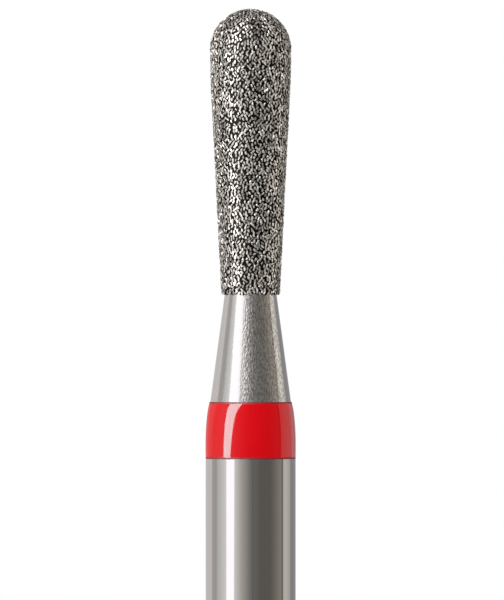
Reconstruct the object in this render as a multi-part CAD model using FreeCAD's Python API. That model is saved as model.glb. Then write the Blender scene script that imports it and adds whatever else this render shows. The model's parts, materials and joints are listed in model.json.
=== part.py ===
"""Dental bur: a pear-shaped diamond head on a friction-grip shank, for a turbine handpiece.

Units are millimetres. +Z runs along the bur's own axis, from the shank to the head, and the origin is
the centre of the shank's flat end face. Everything is turned, so each piece is a profile in the XZ plane
(radius along X, height along Z) revolved about Z.

Pieces, from the inside out:
  steel_blank      shank, shoulder, neck and the core of the head, turned from one rod
  diamond_coating  the nickel-bonded diamond layer, one closed shell over the core
  colour_ring      the lacquer band on the shoulder that tells the grit
"""
import FreeCAD, Part
import math
import os

# Shank, in the standard friction-grip size
SHANK_DIAMETER = 1.60
SHANK_LENGTH = 11.0
END_CHAMFER = 0.15

# Lacquer ring on the shoulder, between the shank and the neck
RING_HEIGHT = 1.01
RING_EDGE = 0.02
RING_CROWN = 0.03
RING_EDGE_RADIUS = 0.012
SHOULDER_STEP = 0.03

# Neck, a straight cone from the ring up to the head
NECK_LENGTH = 1.91
NECK_FOOT_DIAMETER = 1.433
NECK_TOP_DIAMETER = 0.922

# Head, measured over the diamond grit
HEAD_LENGTH = 5.08
HEAD_DIAMETER = 1.45
BELLY_TANGENT = 0.36
COATING_THICKNESS = 0.065

# Heights along the axis
RING_BASE_Z = SHANK_LENGTH
RING_TOP_Z = RING_BASE_Z + RING_HEIGHT
HEAD_BASE_Z = RING_TOP_Z + NECK_LENGTH
TIP_Z = HEAD_BASE_Z + HEAD_LENGTH
DOME_CENTRE_Z = TIP_Z - HEAD_DIAMETER / 2

# Radii that two pieces share
SHANK_RADIUS = SHANK_DIAMETER / 2
SHOULDER_RADIUS = SHANK_RADIUS - SHOULDER_STEP
NECK_FOOT_RADIUS = NECK_FOOT_DIAMETER / 2
NECK_TOP_RADIUS = NECK_TOP_DIAMETER / 2
CORE_RADIUS = HEAD_DIAMETER / 2 - COATING_THICKNESS

# The head's side: it leaves the dome parallel to the axis, turns in over the belly and runs on as a cone
# to the neck. The belly's arc is tangent to both, and BELLY_TANGENT is the length of each tangent.
TAPER = math.atan2(CORE_RADIUS - NECK_TOP_RADIUS, DOME_CENTRE_Z - BELLY_TANGENT - HEAD_BASE_Z)
BELLY_RADIUS = BELLY_TANGENT / math.tan(TAPER / 2)


def point(radius, height):
    """A point of a profile, in the XZ plane."""
    return FreeCAD.Vector(radius, 0, height)


def line(start, end):
    """A straight edge of a profile."""
    return Part.LineSegment(start, end).toShape()


def arc(start, middle, end):
    """A round edge of a profile, through three points."""
    return Part.Arc(start, middle, end).toShape()


def turned(edges):
    """The solid that a closed profile sweeps as it turns once about the Z axis."""
    face = Part.Face(Part.Wire(edges))
    return face.revolve(FreeCAD.Vector(0, 0, 0), FreeCAD.Vector(0, 0, 1), 360)


def dome_point(offset, angle):
    """A point on the dome, at an angle above the horizontal, this far outside the core."""
    radius = CORE_RADIUS + offset
    return point(radius * math.cos(angle), DOME_CENTRE_Z + radius * math.sin(angle))


def belly_point(offset, angle):
    """A point on the belly's arc, at an angle below the horizontal, this far outside the core."""
    radius = BELLY_RADIUS + offset
    centre = CORE_RADIUS - BELLY_RADIUS
    return point(centre + radius * math.cos(angle), DOME_CENTRE_Z - radius * math.sin(angle))


def head_side(offset):
    """The head's profile from its base up to the tip, this far outside the core, and its two ends."""
    base = point(NECK_TOP_RADIUS + offset / math.cos(TAPER), HEAD_BASE_Z)
    tip = point(0, DOME_CENTRE_Z + CORE_RADIUS + offset)
    equator = dome_point(offset, 0)
    edges = [
        line(base, belly_point(offset, TAPER)),
        arc(belly_point(offset, TAPER), belly_point(offset, TAPER / 2), equator),
        arc(equator, dome_point(offset, math.pi / 4), tip),
    ]
    return edges, base, tip


def steel_blank():
    """Shank, shoulder, neck and head core, one turned piece."""
    core_edges, core_base, core_tip = head_side(0)
    corners = [
        point(0, 0),
        point(SHANK_RADIUS - END_CHAMFER, 0),
        point(SHANK_RADIUS, END_CHAMFER),
        point(SHANK_RADIUS, RING_BASE_Z),
        point(SHOULDER_RADIUS, RING_BASE_Z),
        point(NECK_FOOT_RADIUS, RING_TOP_Z),
        core_base,
    ]
    edges = [line(start, end) for start, end in zip(corners, corners[1:])]
    return turned(edges + core_edges + [line(core_tip, corners[0])])


def diamond_coating():
    """The bonded grit: a shell of even thickness over the core, open at the neck."""
    inner_edges, inner_base, inner_tip = head_side(0)
    outer_edges, outer_base, outer_tip = head_side(COATING_THICKNESS)
    inner_edges.reverse()
    return turned([line(inner_base, outer_base)] + outer_edges + [line(outer_tip, inner_tip)] + inner_edges)


def colour_ring():
    """The lacquer band: flush with the shank below, crowned, with a rounded upper edge on the neck."""
    seat_base = point(SHOULDER_RADIUS, RING_BASE_Z)
    seat_top = point(NECK_FOOT_RADIUS, RING_TOP_Z)
    side_base = point(SHANK_RADIUS, RING_BASE_Z)
    side_top = point(NECK_FOOT_RADIUS + RING_EDGE, RING_TOP_Z)
    chord = side_top - side_base
    outward = FreeCAD.Vector(chord.z, 0, -chord.x).normalize()
    crown = side_base + chord * 0.5 + outward * RING_CROWN
    ring = turned([
        line(seat_base, side_base),
        arc(side_base, crown, side_top),
        line(side_top, seat_top),
        line(seat_top, seat_base),
    ])
    upper_edge = [
        edge for edge in ring.Edges
        if len(edge.Vertexes) == 1 and edge.isClosed()
        and abs(edge.Curve.Radius - side_top.x) < RING_EDGE / 2
        and abs(edge.Vertexes[0].Z - RING_TOP_Z) < RING_EDGE / 2
    ]
    return ring.makeFillet(min(RING_EDGE_RADIUS, 0.8 * RING_EDGE), upper_edge)


def write(name, solid):
    """One piece as one STEP file, after a look that it is a single closed solid."""
    if not (solid.isValid() and solid.Volume > 0 and len(solid.Solids) == 1):
        raise RuntimeError(f"{name} isn't one valid solid")
    solid.exportStep(os.path.join("parts", name + ".step"))
    print(f"{name}: {solid.Volume:.4f} mm3")


os.makedirs("parts", exist_ok=True)
write("steel_blank", steel_blank())
write("diamond_coating", diamond_coating())
write("colour_ring", colour_ring())
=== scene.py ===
"""Looks of a dental bur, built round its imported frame.

Lengths are metres in the frame's own axes: +Z runs along the bur from the shank to the head, and the origin
is the centre of the shank's end face. An azimuth is an angle round Z, 0 on the camera's side (-Y) and
positive towards +X.
"""

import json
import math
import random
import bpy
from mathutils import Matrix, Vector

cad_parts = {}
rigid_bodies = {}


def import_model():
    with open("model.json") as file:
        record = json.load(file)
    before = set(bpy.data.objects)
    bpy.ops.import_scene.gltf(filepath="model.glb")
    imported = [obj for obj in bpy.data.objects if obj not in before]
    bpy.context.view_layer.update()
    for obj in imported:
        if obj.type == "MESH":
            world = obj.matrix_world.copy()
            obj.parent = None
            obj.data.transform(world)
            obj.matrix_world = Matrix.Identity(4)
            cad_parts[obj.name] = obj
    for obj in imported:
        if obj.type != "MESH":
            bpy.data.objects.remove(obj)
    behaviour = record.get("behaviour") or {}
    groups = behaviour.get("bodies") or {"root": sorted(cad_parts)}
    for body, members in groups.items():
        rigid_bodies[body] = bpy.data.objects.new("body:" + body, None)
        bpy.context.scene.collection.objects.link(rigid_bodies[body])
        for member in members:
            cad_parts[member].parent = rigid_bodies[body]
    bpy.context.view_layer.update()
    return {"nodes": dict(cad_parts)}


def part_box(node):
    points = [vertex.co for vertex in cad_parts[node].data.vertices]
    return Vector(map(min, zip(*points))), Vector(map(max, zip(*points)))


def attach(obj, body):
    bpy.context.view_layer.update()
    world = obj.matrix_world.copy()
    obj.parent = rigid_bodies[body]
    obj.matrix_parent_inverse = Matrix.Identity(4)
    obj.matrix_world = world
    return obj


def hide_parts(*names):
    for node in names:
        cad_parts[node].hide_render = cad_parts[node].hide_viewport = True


bl_info = {
    "name": "Dental Bur",
    "version": (1, 0, 0),
    "blender": (4, 5, 0),
    "location": "3D View > Sidebar > Bur",
    "description": "Turns, plates, grits and lacquers a dental bur round its packed frame",
    "category": "Object",
}

import bpy
from mathutils import Matrix, Vector

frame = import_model()

MM = 0.001
FULL_TURN = 2 * math.pi
WELD_DISTANCE = 0.0001 * MM
SAME_HEIGHT = 0.002 * MM
UP = Vector((0, 0, 1))
CAMERA_HEIGHT = 13.82 * MM


def rim(node, height, pick=max):
    """The largest radius, or the smallest, of a CAD node's vertices at this height."""
    vertices = frame["nodes"][node].data.vertices
    return pick(math.hypot(v.co.x, v.co.y) for v in vertices if abs(v.co.z - height) < SAME_HEIGHT)


# Heights and radii of the bur, read from the frame
RING_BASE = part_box("colour_ring")[0].z
RING_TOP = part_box("colour_ring")[1].z
HEAD_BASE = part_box("diamond_coating")[0].z
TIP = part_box("diamond_coating")[1].z
CORE_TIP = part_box("steel_blank")[1].z
SHANK_RADIUS = rim("steel_blank", RING_BASE)
SHOULDER_RADIUS = rim("steel_blank", RING_BASE, min)
END_FACE_RADIUS = rim("steel_blank", 0.0)
NECK_FOOT_RADIUS = rim("steel_blank", RING_TOP)
NECK_TOP_RADIUS = rim("steel_blank", HEAD_BASE)
COATING_THICKNESS = TIP - CORE_TIP
HEAD_RADIUS = max(math.hypot(v.co.x, v.co.y) for v in frame["nodes"]["diamond_coating"].data.vertices)
CORE_RADIUS = HEAD_RADIUS - COATING_THICKNESS
DOME_CENTRE = TIP - HEAD_RADIUS


class BurShape(bpy.types.PropertyGroup):
    """Sizes that the frame doesn't hold."""

    steps: bpy.props.IntProperty(
        name="Turning steps", description="Flats round each turned piece", default=192, min=48, max=512,
    )
    belly_tangent: bpy.props.FloatProperty(
        name="Belly", description="Length of the belly arc's tangents", default=0.36 * MM,
        precision=6, subtype="DISTANCE", unit="LENGTH",
    )
    edge_break: bpy.props.FloatProperty(
        name="Edge break", description="Radius that breaks the shank's ground edges", default=0.005 * MM,
        precision=6, subtype="DISTANCE", unit="LENGTH",
    )
    grain_size: bpy.props.FloatProperty(
        name="Grain", description="Length of a middling diamond grain", default=0.058 * MM,
        precision=6, subtype="DISTANCE", unit="LENGTH",
    )
    grain_pitch: bpy.props.FloatProperty(
        name="Pitch", description="Least distance between the middles of two grains", default=0.0495 * MM,
        precision=6, subtype="DISTANCE", unit="LENGTH",
    )
    grain_proud: bpy.props.FloatProperty(
        name="Proud", description="How far the grains stand out of the bond", default=0.030 * MM,
        precision=6, subtype="DISTANCE", unit="LENGTH",
    )
    grain_kinds: bpy.props.IntProperty(
        name="Kinds", description="Different grains that are cut before they are scattered", default=10,
        min=1,
    )
    seed: bpy.props.IntProperty(
        name="Seed", description="Start of every random draw", default=7,
    )


class BurColours(bpy.types.PropertyGroup):
    """Colours of the bur's surfaces."""

    steel: bpy.props.FloatVectorProperty(
        name="Steel", description="Ground steel", default=(0.63, 0.62, 0.61), subtype="COLOR", min=0, max=1,
    )
    # Near black: the nickel is darkened as painted shade of the gaps between the grains
    bond: bpy.props.FloatVectorProperty(
        name="Bond", description="Nickel between the grains", default=(0.018, 0.017, 0.016), subtype="COLOR",
        min=0, max=1,
    )
    grain_dark: bpy.props.FloatVectorProperty(
        name="Dark grain", description="The darkest grains", default=(0.38, 0.365, 0.345), subtype="COLOR",
        min=0, max=1,
    )
    grain_light: bpy.props.FloatVectorProperty(
        name="Light grain", description="The lightest grains", default=(1.0, 0.96, 0.90), subtype="COLOR",
        min=0, max=1,
    )
    lacquer: bpy.props.FloatVectorProperty(
        name="Lacquer", description="The ring's red", default=(0.60, 0.0, 0.004), subtype="COLOR",
        min=0, max=1,
    )
    # Dark maroon for the ring's ragged rims and the line under the ring: partly the lacquer's ragged edge,
    # partly painted shade of the gaps there
    lacquer_edge_shade: bpy.props.FloatVectorProperty(
        name="Lacquer edge", description="The lacquer's ragged rim", default=(0.22, 0.0, 0.004),
        subtype="COLOR", min=0, max=1,
    )
    floor: bpy.props.FloatVectorProperty(
        name="Floor", description="The studio's floor", default=(0.78, 0.78, 0.78), subtype="COLOR",
        min=0, max=1,
    )


class Wire:
    """An output of a node. Sums, differences and products of wires and numbers add Math nodes."""

    def __init__(self, nodes, socket):
        self.nodes = nodes
        self.socket = socket

    def maths(self, operation, first, second):
        return self.nodes.add("ShaderNodeMath", {"operation": operation}, {0: first, 1: second})

    def __add__(self, other):
        return self.maths("ADD", self, other)

    def __radd__(self, other):
        return self.maths("ADD", other, self)

    def __sub__(self, other):
        return self.maths("SUBTRACT", self, other)

    def __rsub__(self, other):
        return self.maths("SUBTRACT", other, self)

    def __mul__(self, other):
        return self.maths("MULTIPLY", self, other)

    def __rmul__(self, other):
        return self.maths("MULTIPLY", other, self)

    def beside(self, name):
        """Another output of the same node."""
        return Wire(self.nodes, self.socket.node.outputs[name])


class Nodes:
    """A node tree while it is drawn up."""

    def __init__(self, tree):
        self.tree = tree

    def add(self, kind, settings=None, sockets=None):
        """A new node's first output. The settings are made first, and a socket gets a value or a wire."""
        node = self.tree.nodes.new(kind)
        for name, value in (settings or {}).items():
            if name == "stops":
                self.set_stops(node.color_ramp, value)
            else:
                setattr(node, name, value)
        for key, value in (sockets or {}).items():
            socket = self.open_socket(node, key)
            if isinstance(value, Wire):
                self.tree.links.new(value.socket, socket)
            else:
                socket.default_value = value
        outputs = [socket for socket in node.outputs if socket.enabled]
        return Wire(self, outputs[0]) if outputs else None

    def open_socket(self, node, key):
        """The node's input of that name which its settings have left open, or the input of that number."""
        if isinstance(key, int):
            return node.inputs[key]
        return next(socket for socket in node.inputs if socket.enabled and socket.name == key)

    def set_stops(self, ramp, stops):
        """Gives a ramp its stops, each a place and a colour."""
        while len(ramp.elements) < len(stops):
            ramp.elements.new(1.0)
        for element, (place, colour) in zip(ramp.elements, stops):
            element.position = place
            element.color = (*colour, 1.0)

    def place(self, stretch=(1, 1, 1)):
        """A point's place on its piece, stretched for the pattern that reads it."""
        point = self.add("ShaderNodeTexCoord").beside("Object")
        return self.add("ShaderNodeMapping", {}, {"Vector": point, "Scale": stretch})

    def noise(self, place, size, detail=2.0, roughness=0.5):
        """Noise whose blots are about this size, in metres."""
        return self.add(
            "ShaderNodeTexNoise", {},
            {"Vector": place, "Scale": 1 / size, "Detail": detail, "Roughness": roughness},
        )

    def rise(self, value, low, high):
        """A smooth climb from 0 to 1 as the value goes from low to high."""
        return self.add(
            "ShaderNodeMapRange", {"interpolation_type": "SMOOTHSTEP", "clamp": True},
            {"Value": value, "From Min": low, "From Max": high},
        )

    def blend(self, factor, first, second):
        """One colour or the other, by a factor from 0 to 1."""
        return self.add("ShaderNodeMix", {"data_type": "RGBA"}, {"Factor": factor, "A": first, "B": second})

    def bump(self, height, depth):
        """A normal bent by a height from 0 to 1, which stands for this depth in metres."""
        return self.add("ShaderNodeBump", {}, {"Height": height, "Distance": depth})

    def vector(self, operation, first, second=(0, 0, 0)):
        """Vector maths on one or two places or directions."""
        return self.add("ShaderNodeVectorMath", {"operation": operation}, {0: first, 1: second})

    def dot(self, first, second):
        """The dot product of two directions."""
        return self.vector("DOT_PRODUCT", first, second).beside("Value")

    def outward(self):
        """The direction away from the axis or, on the dome, away from the dome's centre."""
        from_centre = self.vector("SUBTRACT", self.place(), (0, 0, DOME_CENTRE))
        return self.vector("NORMALIZE", self.vector("MAXIMUM", from_centre, (-1, -1, 0)))

    def surface(self, sockets):
        """Ends a material with one Principled shader."""
        shader = self.add("ShaderNodeBsdfPrincipled", {}, sockets)
        self.add("ShaderNodeOutputMaterial", {}, {"Surface": shader})


def opaque(colour):
    """A colour property as the four numbers that a socket takes."""
    return (*colour, 1.0)


def new_material(name):
    """A material with an empty tree, and the nodes to draw it up with."""
    material = bpy.data.materials.new(name)
    material.use_nodes = True
    material.node_tree.nodes.clear()
    return material, Nodes(material.node_tree)


def ground_steel(colours):
    """The shank: bright steel, a little cloudy, with a ragged dark maroon line along its upper edge, which is
    partly lacquer specks and partly painted shade of the gap under the ring.
    """
    material, nodes = new_material("ground_steel")
    place = nodes.place()
    clouds = nodes.noise(place, 1.2 * MM)
    height = nodes.add("ShaderNodeSeparateXYZ", {}, {"Vector": place}).beside("Z")
    wander = nodes.noise(nodes.place((1, 1, 0.2)), 0.06 * MM, detail=3)
    # Painted shade: a ragged dark maroon line just under the ring, partly lacquer specks
    seam_shade = nodes.rise(height + 0.060 * MM * wander, RING_BASE + 0.030 * MM, RING_BASE + 0.038 * MM)
    nodes.surface({
        "Base Color": nodes.blend(seam_shade, opaque(colours.steel), opaque(colours.lacquer_edge_shade)),
        "Metallic": 1.0,
        "Roughness": 0.06 + 0.02 * clouds + 0.4 * seam_shade,
    })
    return material


def satin_steel(colours):
    """The neck: satin steel, pebbled but for a smooth side on the front's left and a stripe on its right. The
    pebbles are also painted into its colour as light specks and shade.
    """
    material, nodes = new_material("satin_steel")
    sideways = nodes.vector("NORMALIZE", nodes.place((1, 1, 0)))
    across = nodes.add("ShaderNodeSeparateXYZ", {}, {"Vector": sideways})
    front = 1 - nodes.rise(across.beside("Y"), 0.0, 0.3)
    mottled = 1 - front * (1 - nodes.rise(across, -0.27, -0.19))
    rough_side = mottled - 0.92 * front * nodes.rise(across, 0.46, 0.68)
    bordered = mottled - front * nodes.rise(across, 0.84, 0.90)
    pebbles_and_glints = nodes.noise(nodes.place((1, 1, 0.5)), 0.030 * MM, detail=2, roughness=0.65)
    # Lit and shaded copies of the steel: the pebbles are painted into the colour as light specks and shade
    bright = [1.55 * channel for channel in colours.steel]
    shaded = [0.9 * channel for channel in colours.steel]
    even_shade = 0.80
    shade = even_shade + (nodes.rise(pebbles_and_glints, 0.40, 0.60) - even_shade) * (0.1 + 0.9 * bordered)
    nodes.surface({
        "Base Color": nodes.blend(shade, opaque(bright), opaque(shaded)),
        "Metallic": 1.0,
        "Roughness": 0.06 + 0.16 * pebbles_and_glints * rough_side,
        "Normal": nodes.bump((pebbles_and_glints - 0.5) * (0.1 + 0.9 * rough_side), 0.009 * MM),
    })
    return material


def nickel_bond(colours):
    """The plated nickel between the grains, dull, with painted shade in its hollows."""
    material, nodes = new_material("nickel_bond")
    ripples = nodes.noise(nodes.place(), 0.03 * MM, detail=3)
    # Painted shade: the colour darkens to half in the hollows of the ripples
    tone = nodes.rise(ripples, 0.35, 0.75)
    dark = tuple(0.5 * channel for channel in colours.bond)
    nodes.surface({
        "Base Color": nodes.blend(tone, opaque(dark), opaque(colours.bond)),
        "Metallic": 0.9,
        "Roughness": 0.24 + 0.15 * ripples,
        "Normal": nodes.bump(ripples, 0.008 * MM),
    })
    return material


def diamond_grit(colours):
    """The grains: each has its own tone, is painted dark at its foot as shade in the bond, and glints on its
    facets.

    The black tint dims what they mirror at a glancing angle.
    """
    material, nodes = new_material("diamond_grit")
    tone = nodes.add("ShaderNodeAttribute", {"attribute_name": "tone"}).beside("Fac")
    shade = nodes.rise(tone, 0.05, 0.85)
    toned = nodes.blend(shade, opaque(colours.grain_dark), opaque(colours.grain_light))
    fleck = nodes.noise(nodes.place(), 0.02 * MM)
    normal = nodes.add("ShaderNodeNewGeometry").beside("Normal")
    outward = nodes.outward()
    height = nodes.add("ShaderNodeAttribute", {"attribute_name": "height"}).beside("Fac")
    # Painted shade: near its foot, below this height, a grain takes the bond's near-black colour
    above_foot_shade = nodes.rise(height, 0.0050 * MM, 0.0160 * MM)
    flatter = 0.35 + 0.60 * nodes.rise(nodes.dot(outward, normal), 0.70, 0.92)
    levelled = nodes.add(
        "ShaderNodeMix", {"data_type": "VECTOR"}, {"Factor": flatter, "A": normal, "B": outward},
    )
    nodes.surface({
        "Base Color": nodes.blend(above_foot_shade, opaque(colours.bond), toned),
        "Metallic": 1.0,
        "Specular Tint": (0.0, 0.0, 0.0, 1.0),
        "Roughness": 0.22 + 0.14 * fleck,
        "Normal": nodes.vector("NORMALIZE", levelled),
    })
    return material


def ring_lacquer(colours):
    """The ring: deep glossy red with a thin ragged dark rim at each edge, partly the lacquer's ragged edge
    and partly painted shade of the gap there.

    Its normals are turned a little to the right, which draws its highlights to the left.
    """
    material, nodes = new_material("ring_lacquer")
    height = nodes.add("ShaderNodeSeparateXYZ", {}, {"Vector": nodes.place()}).beside("Z")
    from_edge = height.maths("MINIMUM", height - RING_BASE, RING_TOP - height)
    wander = nodes.noise(nodes.place((1, 1, 0.2)), 0.07 * MM, detail=3)
    # Painted shade: a ragged dark maroon rim at both edges of the ring, partly the lacquer's own ragged edge
    ragged_rim_shade = 1 - nodes.rise(from_edge + 0.040 * MM * wander, 0.036 * MM, 0.058 * MM)
    turned_normal = nodes.add(
        "ShaderNodeVectorRotate", {"rotation_type": "Z_AXIS"},
        {"Vector": nodes.add("ShaderNodeNewGeometry").beside("Normal"), "Angle": math.radians(3.8)},
    )
    nodes.surface({
        "Base Color": nodes.blend(ragged_rim_shade, opaque(colours.lacquer), opaque(colours.lacquer_edge_shade)),
        "Roughness": 0.07 + 0.5 * ragged_rim_shade,
        "IOR": 1.5,
        "Specular IOR Level": 0.32,
        "Normal": turned_normal,
    })
    return material


def pale_floor(colours, reach):
    """The floor, which fades out towards its rim so that no horizon shows."""
    material, nodes = new_material("pale_floor")
    out = nodes.vector("LENGTH", nodes.place()).beside("Value")
    fade = nodes.rise(out, 0.35 * reach, reach)
    shader = nodes.add(
        "ShaderNodeBsdfPrincipled", {}, {"Base Color": opaque(colours.floor), "Roughness": 0.8},
    )
    clear = nodes.add("ShaderNodeBsdfTransparent")
    faded = nodes.add("ShaderNodeMixShader", {}, {0: fade, 1: shader, 2: clear})
    nodes.add("ShaderNodeOutputMaterial", {}, {"Surface": faded})
    return material


def arc(centre_radius, centre_height, radius, start, end, steps):
    """The points of an arc in a profile, from one angle above the horizontal to another."""
    angles = [start + (end - start) * step / steps for step in range(steps + 1)]
    return [(centre_radius + radius * math.cos(a), centre_height + radius * math.sin(a)) for a in angles]


def head_side(shape, outward):
    """The head's profile from its base to its tip, this far outside the steel core."""
    taper = math.atan2(CORE_RADIUS - NECK_TOP_RADIUS, DOME_CENTRE - shape.belly_tangent - HEAD_BASE)
    belly = shape.belly_tangent / math.tan(taper / 2)
    base = (NECK_TOP_RADIUS + outward / math.cos(taper), HEAD_BASE)
    belly_arc = arc(CORE_RADIUS - belly, DOME_CENTRE, belly + outward, -taper, 0, steps=5)
    dome_arc = arc(0, DOME_CENTRE, CORE_RADIUS + outward, 0, math.pi / 2, steps=28)
    dome_arc[-1] = (0.0, dome_arc[-1][1])
    return [base] + belly_arc + dome_arc[1:]


def turn(name, profile, steps):
    """A turned piece: a profile of radii and heights is drawn point by point and turned round the axis."""
    bpy.ops.object.select_all(action="DESELECT")
    radius, height = profile[0]
    bpy.ops.mesh.primitive_plane_add(size=MM, location=(radius, 0, height))
    bpy.ops.object.transform_apply(location=True, rotation=True, scale=True)
    piece = bpy.context.object
    piece.name = name
    piece.data.name = name
    bpy.ops.object.mode_set(mode="EDIT")
    bpy.ops.mesh.merge(type="CENTER")
    for before, after in zip(profile, profile[1:]):
        move = (after[0] - before[0], 0, after[1] - before[1])
        bpy.ops.mesh.extrude_vertices_move(TRANSFORM_OT_translate={"value": move})
    bpy.ops.object.mode_set(mode="OBJECT")
    bpy.ops.object.modifier_add(type="SCREW")
    lathe = piece.modifiers[-1]
    lathe.axis = "Z"
    lathe.angle = FULL_TURN
    lathe.steps = steps
    lathe.render_steps = steps
    lathe.use_merge_vertices = True
    lathe.merge_threshold = WELD_DISTANCE
    bpy.ops.object.modifier_apply(modifier=lathe.name)
    bpy.ops.object.mode_set(mode="EDIT")
    bpy.ops.mesh.select_all(action="SELECT")
    bpy.ops.mesh.remove_doubles(threshold=WELD_DISTANCE)
    bpy.ops.mesh.normals_make_consistent(inside=False)
    bpy.ops.object.mode_set(mode="OBJECT")
    return piece


def smooth(piece, degrees):
    """Smooth shading, but for edges sharper than this."""
    bpy.ops.object.select_all(action="DESELECT")
    piece.select_set(True)
    bpy.context.view_layer.objects.active = piece
    bpy.ops.object.shade_smooth_by_angle(angle=math.radians(degrees))


def carry(piece, slot, *nodes):
    """Puts a finished piece on the bur's one body, in place of its CAD nodes."""
    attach(piece, "root")
    if nodes:
        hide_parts(*nodes)


def lit_by(lamps):
    """The collection of the pieces that these lamps light."""
    return bpy.data.collections.get(lamps) or bpy.data.collections.new(lamps)


class TurnBlank(bpy.types.Operator):
    """Turn the steel blank: shank, shoulder, neck and the core of the head"""

    bl_idname = "bur.turn_blank"
    bl_label = "Turn Steel Blank"

    def execute(self, context):
        shape = context.scene.bur_shape
        colours = context.scene.bur_colours
        chamfer = SHANK_RADIUS - END_FACE_RADIUS
        edge = shape.edge_break
        top_edge = arc(SHANK_RADIUS - edge, RING_BASE - edge, edge, 0, math.pi / 2, steps=4)
        profile = [
            (0.0, 0.0),
            (END_FACE_RADIUS - edge, 0.0),
            (END_FACE_RADIUS + edge / 2, edge / 2),
            (SHANK_RADIUS - edge / 2, chamfer - edge / 2),
            (SHANK_RADIUS, chamfer + edge),
            *top_edge,
            (SHOULDER_RADIUS, RING_BASE),
            (NECK_FOOT_RADIUS, RING_TOP),
        ] + head_side(shape, 0.0)
        blank = turn("steel_blank_turned", profile, shape.steps)
        blank.data.materials.append(ground_steel(colours))
        blank.data.materials.append(satin_steel(colours))
        for face in blank.data.polygons:
            face.material_index = 1 if face.center.z > RING_BASE else 0
        smooth(blank, degrees=6)
        carry(blank, "ground_steel", "steel_blank")
        lit_by("steel").objects.link(blank)
        return {"FINISHED"}


class PlateBond(bpy.types.Operator):
    """Plate the nickel bond over the core, with the uneven lower edge that plating leaves"""

    bl_idname = "bur.plate_bond"
    bl_label = "Plate Nickel Bond"

    def execute(self, context):
        shape = context.scene.bur_shape
        colours = context.scene.bur_colours
        draw = random.Random(shape.seed)
        outer = head_side(shape, COATING_THICKNESS - shape.grain_proud)
        inner = head_side(shape, 0.0)
        bond = turn("nickel_bond", inner + outer[::-1] + inner[:1], shape.steps)
        bpy.ops.object.mode_set(mode="EDIT")
        bpy.ops.mesh.select_mode(type="VERT")
        sectors = 40
        rim_height = 0.03 * MM
        most_lift = 0.022
        for sector in range(sectors):
            bpy.ops.mesh.select_all(action="DESELECT")
            bpy.ops.object.mode_set(mode="OBJECT")
            for vertex in bond.data.vertices:
                turned = math.atan2(vertex.co.y, vertex.co.x) / FULL_TURN % 1
                at_rim = vertex.co.z < HEAD_BASE + SAME_HEIGHT + rim_height
                vertex.select = at_rim and int(turned * sectors) == sector
            bpy.ops.object.mode_set(mode="EDIT")
            bpy.ops.transform.translate(value=(0, 0, draw.uniform(0.0, most_lift) * MM))
        bpy.ops.object.mode_set(mode="OBJECT")
        bond.data.materials.append(nickel_bond(colours))
        smooth(bond, degrees=40)
        carry(bond, "diamond_grit", "diamond_coating")
        lit_by("bond").objects.link(bond)
        return {"FINISHED"}


def cut_grain(name, draw):
    """One blocky crystal, about two units long: a cube with its corners and edges cut off at random."""
    cuts = 6
    cut_distances = (0.68, 0.88)
    widths = (0.70, 0.78)
    lengths = (1.25, 1.45)
    thickness = 0.8
    bpy.ops.object.select_all(action="DESELECT")
    bpy.ops.mesh.primitive_cube_add(size=1.6)
    grain = bpy.context.object
    grain.name = name
    bpy.ops.object.mode_set(mode="EDIT")
    for cut in range(cuts):
        bpy.ops.mesh.select_all(action="SELECT")
        facing = Vector([draw.gauss(0, 1) for axis in range(3)]).normalized()
        bpy.ops.mesh.bisect(
            plane_co=facing * draw.uniform(*cut_distances), plane_no=facing, use_fill=True,
            clear_outer=True, threshold=0.0001,
        )
    bpy.ops.mesh.select_all(action="SELECT")
    bpy.ops.mesh.remove_doubles(threshold=0.04)
    bpy.ops.mesh.normals_make_consistent(inside=False)
    bpy.ops.transform.resize(value=(draw.uniform(*widths), draw.uniform(*lengths), thickness))
    bpy.ops.object.mode_set(mode="OBJECT")
    return grain


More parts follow.
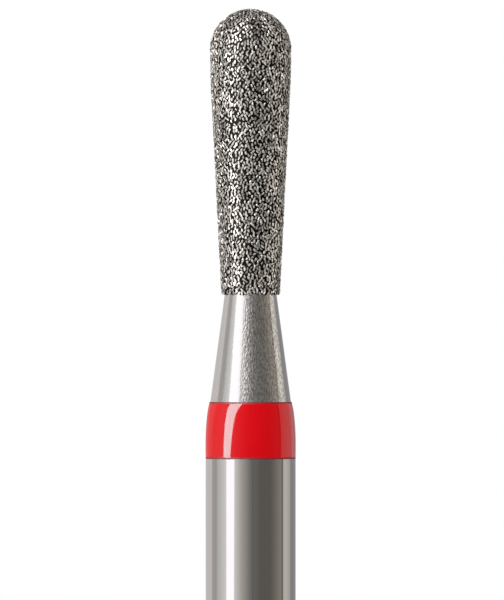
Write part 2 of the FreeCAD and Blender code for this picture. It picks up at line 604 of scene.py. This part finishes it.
def scatter_tree(shape, kinds, material):
    """The tree that sets a grain on each of many even points of a surface.

    A grain's kind, turn, size and tone are random, and its vertices hold their height over the surface.
    """
    tries_per_place = 24
    most_turn = (0.25, 0.6, 0.8)
    half = shape.grain_size / 2
    tree = bpy.data.node_groups.new("scatter_grains", "GeometryNodeTree")
    tree.interface.new_socket("Surface", in_out="INPUT", socket_type="NodeSocketGeometry")
    tree.interface.new_socket("Grains", in_out="OUTPUT", socket_type="NodeSocketGeometry")
    nodes = Nodes(tree)
    surface = nodes.add("NodeGroupInput")
    draw = nodes.add("FunctionNodeRandomValue", {"data_type": "FLOAT"}, {"Min": 0.0, "Max": 1.0, "Seed": 5})
    shuffled = nodes.add(
        "GeometryNodeSortElements", {"domain": "FACE"}, {"Geometry": surface, "Sort Weight": draw},
    )
    points = nodes.add(
        "GeometryNodeDistributePointsOnFaces", {"distribute_method": "POISSON"},
        {"Mesh": shuffled, "Distance Min": shape.grain_pitch,
         "Density Max": tries_per_place / shape.grain_pitch**2, "Seed": shape.seed},
    )
    choice = nodes.add(
        "FunctionNodeRandomValue", {"data_type": "INT"}, {"Min": 0, "Max": len(kinds.objects) - 1, "Seed": 1},
    )
    turn_by = nodes.add(
        "FunctionNodeRandomValue", {"data_type": "FLOAT_VECTOR"},
        {"Min": tuple(-angle for angle in most_turn), "Max": most_turn, "Seed": 2},
    )
    turned = nodes.add(
        "FunctionNodeRotateRotation", {"rotation_space": "LOCAL"},
        {"Rotation": points.beside("Rotation"), "Rotate By": turn_by},
    )
    size = nodes.add(
        "FunctionNodeRandomValue", {"data_type": "FLOAT"},
        {"Min": 0.88 * half, "Max": 1.10 * half, "Seed": 3},
    )
    tone = nodes.add("FunctionNodeRandomValue", {"data_type": "FLOAT"}, {"Min": 0.0, "Max": 1.0, "Seed": 4})
    grains = nodes.add(
        "GeometryNodeCollectionInfo", {},
        {"Collection": kinds, "Separate Children": True, "Reset Children": True},
    )
    placed = nodes.add(
        "GeometryNodeInstanceOnPoints", {},
        {"Points": points, "Instance": grains, "Pick Instance": True, "Instance Index": choice,
         "Rotation": turned, "Scale": size},
    )
    toned = nodes.add(
        "GeometryNodeStoreNamedAttribute", {"data_type": "FLOAT", "domain": "INSTANCE"},
        {"Geometry": placed, "Name": "tone", "Value": tone},
    )
    solid = nodes.add("GeometryNodeRealizeInstances", {}, {"Geometry": toned})
    # The height is measured from a sunken copy of the surface, so that it is right below the surface too
    inward = nodes.add(
        "ShaderNodeVectorMath", {"operation": "SCALE"},
        {0: nodes.add("GeometryNodeInputNormal"), "Scale": -shape.grain_size},
    )
    deep = nodes.add("GeometryNodeSetPosition", {}, {"Geometry": surface, "Offset": inward})
    height = nodes.add("GeometryNodeProximity", {"target_element": "FACES"}, {0: deep}).beside("Distance")
    measured = nodes.add(
        "GeometryNodeStoreNamedAttribute", {"data_type": "FLOAT", "domain": "POINT"},
        {"Geometry": solid, "Name": "height", "Value": height - shape.grain_size},
    )
    painted = nodes.add("GeometryNodeSetMaterial", {}, {"Geometry": measured, "Material": material})
    nodes.add("NodeGroupOutput", {}, {0: painted})
    return tree


class SetGrains(bpy.types.Operator):
    """Cut a few kinds of diamond grain and set thousands of them over the head"""

    bl_idname = "bur.set_grains"
    bl_label = "Set Diamond Grains"

    def execute(self, context):
        shape = context.scene.bur_shape
        material = diamond_grit(context.scene.bur_colours)
        draw = random.Random(shape.seed)
        kinds = bpy.data.collections.new("grain_kinds")
        context.scene.collection.children.link(kinds)
        for number in range(shape.grain_kinds):
            grain = cut_grain(f"grain_{number}", draw)
            for holder in grain.users_collection:
                holder.objects.unlink(grain)
            kinds.objects.link(grain)
        below_top = 0.42 * shape.grain_size
        above_base = 0.02 * MM
        side = head_side(shape, COATING_THICKNESS - below_top)
        base = Vector((side[0][0], side[0][1] + above_base))
        top = Vector(side[1])
        # Many short faces, because points crowd into upright rows on faces as tall as the cone
        rows = 60
        side[:1] = [tuple(base.lerp(top, row / rows)) for row in range(rows)]
        grains = turn("diamond_grains", side, shape.steps // 2)
        bpy.ops.object.modifier_add(type="NODES")
        scatter = grains.modifiers[-1]
        scatter.node_group = scatter_tree(shape, kinds, material)
        bpy.ops.object.modifier_apply(modifier=scatter.name)
        if not grains.data.polygons:
            raise RuntimeError("no grain was set")
        for grain in list(kinds.objects):
            bpy.data.objects.remove(grain)
        bpy.data.collections.remove(kinds)
        carry(grains, "diamond_grit", "diamond_coating")
        lit_by("grit").objects.link(grains)
        return {"FINISHED"}


# How the lacquer's side leans in towards the axis: height above the ring's base in millimetres, and degrees
RING_SLOPES = (
    (0.0, -1.6),
    (0.30, 0.5),
    (0.60, 4.0),
    (0.80, 7.1),
    (0.90, 11.0),
    (0.955, 14.0),
    (0.985, 16.2),
    (1.008, 18.3),
)


class LacquerRing(bpy.types.Operator):
    """Lay the lacquer ring round the shoulder"""

    bl_idname = "bur.lacquer_ring"
    bl_label = "Lacquer Ring"

    def execute(self, context):
        shape = context.scene.bur_shape
        colours = context.scene.bur_colours
        side = [(SHANK_RADIUS, RING_BASE)]
        facets = 4
        for (low, lower_slope), (high, upper_slope) in zip(RING_SLOPES, RING_SLOPES[1:]):
            rise = (high - low) * MM / facets
            for facet in range(facets):
                slope = lower_slope + (upper_slope - lower_slope) * (facet + 0.5) / facets
                radius, height = side[-1]
                side.append((radius - rise * math.tan(math.radians(slope)), height + rise))
        profile = [
            (SHOULDER_RADIUS, RING_BASE),
            *side,
            (NECK_FOOT_RADIUS, RING_TOP),
            (SHOULDER_RADIUS, RING_BASE),
        ]
        ring = turn("lacquer_ring", profile, shape.steps)
        ring.data.materials.append(ring_lacquer(colours))
        smooth(ring, degrees=35)
        carry(ring, "ring_lacquer", "colour_ring")
        lit_by("lacquer").objects.link(ring)
        return {"FINISHED"}


def direction(azimuth):
    """The horizontal direction from the bur at an azimuth in degrees."""
    angle = math.radians(azimuth)
    return Vector((math.sin(angle), -math.cos(angle), 0))


# What the bur's bright sides mirror: azimuth, brightness and tint of the walls and of the cards before them
NEUTRAL = (1.0, 0.99, 0.98)
PINKISH = (1.0, 0.955, 0.945)
WARM = (1.0, 0.95, 0.86)
BROWN = (1.0, 0.90, 0.80)
COOL = (0.96, 0.95, 1.0)
WALLS = (
    (-180, 0.62, PINKISH),
    (-119.5, 0.78, PINKISH),
    (-115.5, 0.50, NEUTRAL),
    (-98, 0.48, WARM),
    (-94, 0.62, NEUTRAL),
    (-68, 0.90, NEUTRAL),
    (-44, 0.92, NEUTRAL),
    (-24, 0.54, WARM),
    (-2, 0.24, NEUTRAL),
    (4.5, 0.19, NEUTRAL),
    (6, 0.13, NEUTRAL),
    (7.5, 0.19, NEUTRAL),
    (25, 0.145, WARM),
    (52, 0.145, WARM),
    (60, 0.19, BROWN),
    (84, 0.33, BROWN),
    (87, 0.31, BROWN),
    (88, 0.12, BROWN),
    (91, 0.12, BROWN),
    (92, 0.62, WARM),
    (102, 0.70, WARM),
    (121.5, 0.51, WARM),
    (126.5, 0.32, COOL),
    (165, 0.36, COOL),
    (180, 0.62, PINKISH),
)


def light_walls():
    """The studio's walls, as the light that comes from each azimuth.

    Dull surfaces feel a soft fill instead, and the camera itself sees plain white.
    """
    wall_lean = 0.9
    fill_azimuth = -50
    fill_strength = 1.06
    white = opaque((1.0, 1.0, 1.0))
    world = bpy.data.worlds.new("studio_walls")
    bpy.context.scene.world = world
    world.use_nodes = True
    world.node_tree.nodes.clear()
    nodes = Nodes(world.node_tree)
    looking = nodes.add("ShaderNodeTexCoord")
    across = nodes.add("ShaderNodeSeparateXYZ", {}, {"Vector": looking})
    azimuth = nodes.add("ShaderNodeMath", {"operation": "ARCTAN2"}, {0: across, 1: 0 - across.beside("Y")})
    # The far left wall leans, which shows on the neck's cone and not on the upright shank
    far_left = nodes.rise(0 - azimuth, math.radians(75), math.radians(95))
    azimuth = azimuth - wall_lean * across.beside("Z") * far_left
    stops = [
        (place / 360 + 0.5, tuple(brightness * channel for channel in tint))
        for place, brightness, tint in WALLS
    ]
    walls = nodes.add("ShaderNodeValToRGB", {"stops": stops}, {"Fac": azimuth * (1 / FULL_TURN) + 0.5})
    lit = nodes.add("ShaderNodeBackground", {}, {"Color": walls, "Strength": 1.0})
    towards = nodes.dot(looking, direction(fill_azimuth))
    fill = nodes.add(
        "ShaderNodeBackground", {}, {"Color": white, "Strength": fill_strength + fill_strength * towards},
    )
    backdrop = nodes.add("ShaderNodeBackground", {}, {"Color": white, "Strength": 1.0})
    ray = nodes.add("ShaderNodeLightPath")
    dull = nodes.add("ShaderNodeMixShader", {}, {0: ray.beside("Is Diffuse Ray"), 1: lit, 2: fill})
    mixed = nodes.add("ShaderNodeMixShader", {}, {0: ray, 1: dull, 2: backdrop})
    nodes.add("ShaderNodeOutputWorld", {}, {"Surface": mixed})


def hang_softbox(lamps, left, right, lean, drift, brightness, colour):
    """Hangs a long softbox between two azimuths for the pieces that these lamps light.

    It leans over the bur, which draws its right edge inwards, and its drift turns it in its own plane.
    """
    distance = 200 * MM
    below = 150 * MM
    length = 330 * MM
    out = direction(left)
    along = UP.cross(out)
    opening = math.radians(right - left)
    width = distance * math.sin(opening)
    lean = math.radians(lean)
    rising = (UP * math.cos(lean) - out * math.sin(lean) + along * drift).normalized()
    back = along.cross(rising).normalized()
    across = rising.cross(back)
    corner = out * distance * math.cos(opening) + UP * CAMERA_HEIGHT
    middle = corner + across * width / 2 + rising * (length / 2 - below)
    facing = Matrix((across, rising, back)).transposed()
    bpy.ops.object.light_add(type="AREA", location=middle, rotation=facing.to_euler())
    softbox = bpy.context.object
    softbox.name = lamps + "_softbox"
    softbox.data.shape = "RECTANGLE"
    softbox.data.size = width
    softbox.data.size_y = length
    softbox.data.energy = brightness * math.pi * width * length
    softbox.data.color = colour
    softbox.visible_camera = False
    softbox.visible_diffuse = False
    softbox.light_linking.receiver_collection = lit_by(lamps)


# The softboxes: what they light, left and right azimuth, lean, drift, brightness and colour
SOFTBOXES = (
    ("steel", -65.2, -40.8, 65, 0.0, 0.67, (1.0, 0.955, 1.06)),
    ("grit", -69, -50, 66, 0.0, 1.9, (1.0, 0.955, 0.945)),
    ("grit", -46, 6, 0, 0.0, 0.33, (1.0, 0.97, 0.95)),
    ("grit", 8, 62, 0, 0.0, 0.27, (1.0, 0.97, 0.94)),
    ("grit", 62, 112, 0, 0.0, 0.30, (1.0, 0.97, 0.94)),
    ("bond", -65, -41, 66, 0.0, 4.0, (1.0, 0.95, 0.93)),
    ("lacquer", -65, -43.5, 52, 0.21, 20.2, (0.24, 0.975, 0.985)),
    ("lacquer", -118, -66, 0, 0.0, 0.28, (1.0, 1.0, 1.0)),
    ("lacquer", 92, 152, 0, 0.0, 0.34, (1.0, 0.98, 0.97)),
)


class SetStudio(bpy.types.Operator):
    """Set up the pale floor, the soft light and the camera"""

    bl_idname = "bur.set_studio"
    bl_label = "Set Studio"

    def execute(self, context):
        picture_height = 10.667 * MM
        camera_distance = 200 * MM
        camera_across = 0.024 * MM
        sensor = 36.0
        reach = 300 * MM
        bpy.ops.object.camera_add(
            location=(camera_across, -camera_distance, CAMERA_HEIGHT), rotation=(math.pi / 2, 0, 0),
        )
        camera = context.object
        camera.name = "camera"
        camera.data.sensor_width = sensor
        camera.data.lens = sensor * camera_distance / picture_height
        camera.data.clip_start = 1 * MM
        camera.data.clip_end = 1000 * MM
        bpy.context.scene.camera = camera

        bpy.ops.mesh.primitive_circle_add(vertices=96, radius=reach, fill_type="NGON", location=(0, 0, 0))
        floor = context.object
        floor.name = "floor"
        floor.data.materials.append(pale_floor(context.scene.bur_colours, reach))
        floor.visible_glossy = False
        floor.visible_shadow = False

        light_walls()
        for softbox in SOFTBOXES:
            hang_softbox(*softbox)
        context.scene.view_settings.view_transform = "Standard"
        return {"FINISHED"}


class BurPanel(bpy.types.Panel):
    """The bur's steps and sizes, in the sidebar"""

    bl_idname = "VIEW3D_PT_bur"
    bl_label = "Dental Bur"
    bl_space_type = "VIEW_3D"
    bl_region_type = "UI"
    bl_category = "Bur"

    def draw(self, context):
        for step in STEPS:
            self.layout.operator(step.bl_idname)
        for group in (context.scene.bur_shape, context.scene.bur_colours):
            box = self.layout.box()
            for name in group.__annotations__:
                box.prop(group, name)


STEPS = (SetStudio, TurnBlank, PlateBond, SetGrains, LacquerRing)
CLASSES = (BurShape, BurColours, *STEPS, BurPanel)


def register():
    for part in CLASSES:
        bpy.utils.register_class(part)
    bpy.types.Scene.bur_shape = bpy.props.PointerProperty(type=BurShape)
    bpy.types.Scene.bur_colours = bpy.props.PointerProperty(type=BurColours)


def unregister():
    del bpy.types.Scene.bur_colours
    del bpy.types.Scene.bur_shape
    for part in reversed(CLASSES):
        bpy.utils.unregister_class(part)


def main():
    """Builds everything."""
    register()
    bpy.ops.bur.set_studio()
    bpy.ops.bur.turn_blank()
    bpy.ops.bur.plate_bond()
    bpy.ops.bur.set_grains()
    bpy.ops.bur.lacquer_ring()


if __name__ == "__main__":
    main()
